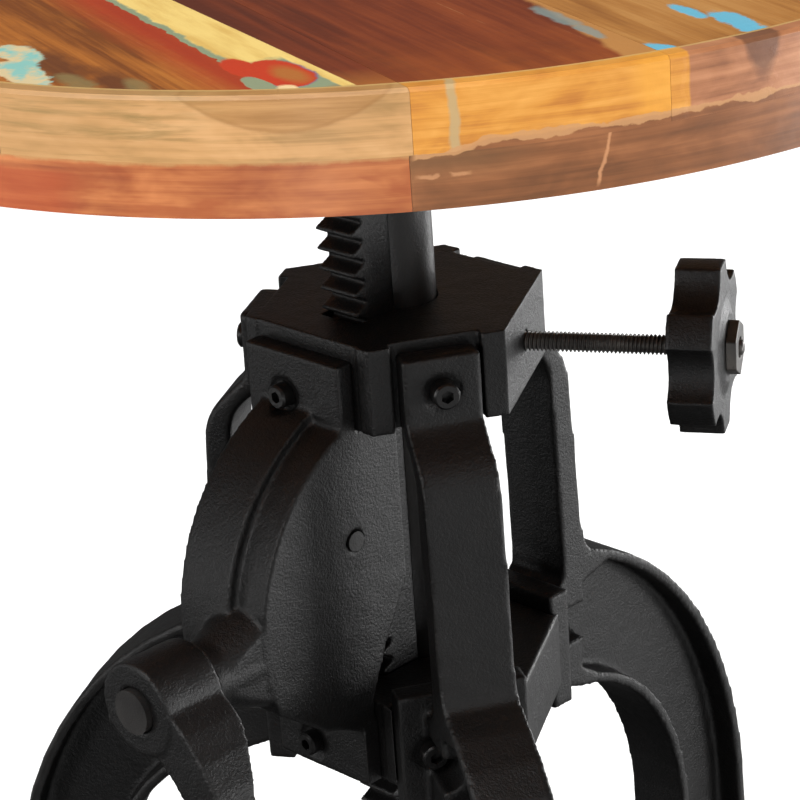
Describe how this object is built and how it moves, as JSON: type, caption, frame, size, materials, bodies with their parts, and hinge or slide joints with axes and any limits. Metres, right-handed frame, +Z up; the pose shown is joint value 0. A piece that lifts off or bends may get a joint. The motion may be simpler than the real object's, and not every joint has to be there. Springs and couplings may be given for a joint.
{
  "type": "crank table",
  "caption": "Round reclaimed-wood pedestal table on three cast-iron legs, raised by a hand crank through a worm, pinion and rack, with a clamp knob.",
  "frame": {"origin": "on the floor, on the axis of the column", "axes": "+Z up along the column; +X points from the column along the clamp screw to its knob; the gear housing and crank lie at 120 degrees clockwise from +X seen from above"},
  "size_m": [0.6, 0.6, 0.876],
  "materials": {
    "plank_1_wood": "worn varnished reclaimed wood",
    "plank_2_wood": "worn varnished reclaimed wood with paint remnants",
    "plank_3_wood": "varnished dark red-brown reclaimed wood",
    "plank_4_wood": "varnished tan reclaimed wood with blue paint flakes",
    "plank_5_wood": "worn varnished reclaimed wood",
    "plank_6_wood": "worn varnished reclaimed wood",
    "plank_7_wood": "worn varnished reclaimed wood",
    "edge_1_wood": "varnished brown reclaimed wood",
    "edge_2_wood": "varnished reclaimed wood",
    "edge_3_wood": "varnished reclaimed wood",
    "edge_4_wood": "varnished reclaimed wood",
    "edge_5_wood": "varnished reclaimed wood",
    "edge_6_wood": "varnished red-orange reclaimed wood",
    "batten_wood": "plain sawn wood",
    "zinc_steel": "zinc-plated",
    "black_iron": "satin black paint over rough sand casting",
    "column_steel": "satin black paint",
    "black_bolt": "black oxide",
    "black_screw": "black oxide",
    "glide_plastic": "matte",
    "bronze": "oiled",
    "gear_steel": "oiled",
    "grip_iron": "smooth satin black paint"
  },
  "bodies": {
    "base": {"upper_hub": "black_iron", "lower_hub": "black_iron", "leg_front": "black_iron", "leg_right": "black_iron", "leg_left": "black_iron", "upper_leg_bolts": "black_bolt", "lower_leg_bolts": "black_bolt", "foot_glides": "glide_plastic", "gear_housing": "black_iron", "housing_bolts": "black_bolt", "axle_bushes": "bronze", "crank_bushes": "bronze"},
    "lift": {"plank_1": "plank_1_wood", "plank_2": "plank_2_wood", "plank_3": "plank_3_wood", "plank_4": "plank_4_wood", "plank_5": "plank_5_wood", "plank_6": "plank_6_wood", "plank_7": "plank_7_wood", "edge_board_1": "edge_1_wood", "edge_board_2": "edge_2_wood", "edge_board_3": "edge_3_wood", "edge_board_4": "edge_4_wood", "edge_board_5": "edge_5_wood", "edge_board_6": "edge_6_wood", "battens": "batten_wood", "batten_screws": "zinc_steel", "mounting_plate": "black_iron", "plate_screws": "zinc_steel", "column_tube": "column_steel", "rack_bar": "column_steel", "column_stop": "black_iron", "stop_screw": "black_bolt"},
    "pinion": {"pinion_axle": "gear_steel", "rack_pinion": "gear_steel", "worm_wheel": "bronze"},
    "crank": {"worm_shaft": "gear_steel", "shaft_collar": "gear_steel", "crank_arm": "black_iron", "crank_set_screw": "black_bolt", "grip_spindle": "gear_steel"},
    "grip": {"crank_grip": "grip_iron"},
    "shoe": {"pressure_shoe": "bronze"},
    "clamp": {"clamp_screw": "black_screw", "star_knob": "black_iron", "knob_nut": "black_screw"}
  },
  "joints": [
    {"name": "crank_turn", "type": "hinge", "parent": "base", "child": "crank", "pos_m": [-0.08917, -0.17946, 0.5457], "axis": [-0.5, -0.866, 0], "range_deg": [-4248, 7992]},
    {"name": "table_lift", "type": "slide", "parent": "base", "child": "lift", "axis": [0, 0, 1], "range_m": [-0.1181, 0.2221]},
    {"name": "pinion_turn", "type": "hinge", "parent": "base", "child": "pinion", "pos_m": [-0.03407, -0.05902, 0.588], "axis": [0.866, -0.5, 0], "range_deg": [-212.9, 400.1]},
    {"name": "grip_spin", "type": "hinge", "parent": "crank", "child": "grip", "pos_m": [-0.05502, -0.24536, 0.44563], "axis": [-0.5, -0.866, 0], "continuous": true},
    {"name": "clamp_feed", "type": "slide", "parent": "base", "child": "shoe", "axis": [1, 0, 0], "range_m": [0, 0.0101]},
    {"name": "clamp_turn", "type": "hinge", "parent": "shoe", "child": "clamp", "pos_m": [0.1, 0, 0.6645], "axis": [1, 0, 0], "range_deg": [0, 1800]}
  ],
  "couplings": [
    {"joint": "table_lift", "follows": "crank_turn", "m_per_rad": 0.0015915},
    {"joint": "pinion_turn", "follows": "crank_turn", "ratio": 0.05},
    {"joint": "clamp_feed", "follows": "clamp_turn", "m_per_rad": 0.00031831}
  ]
}
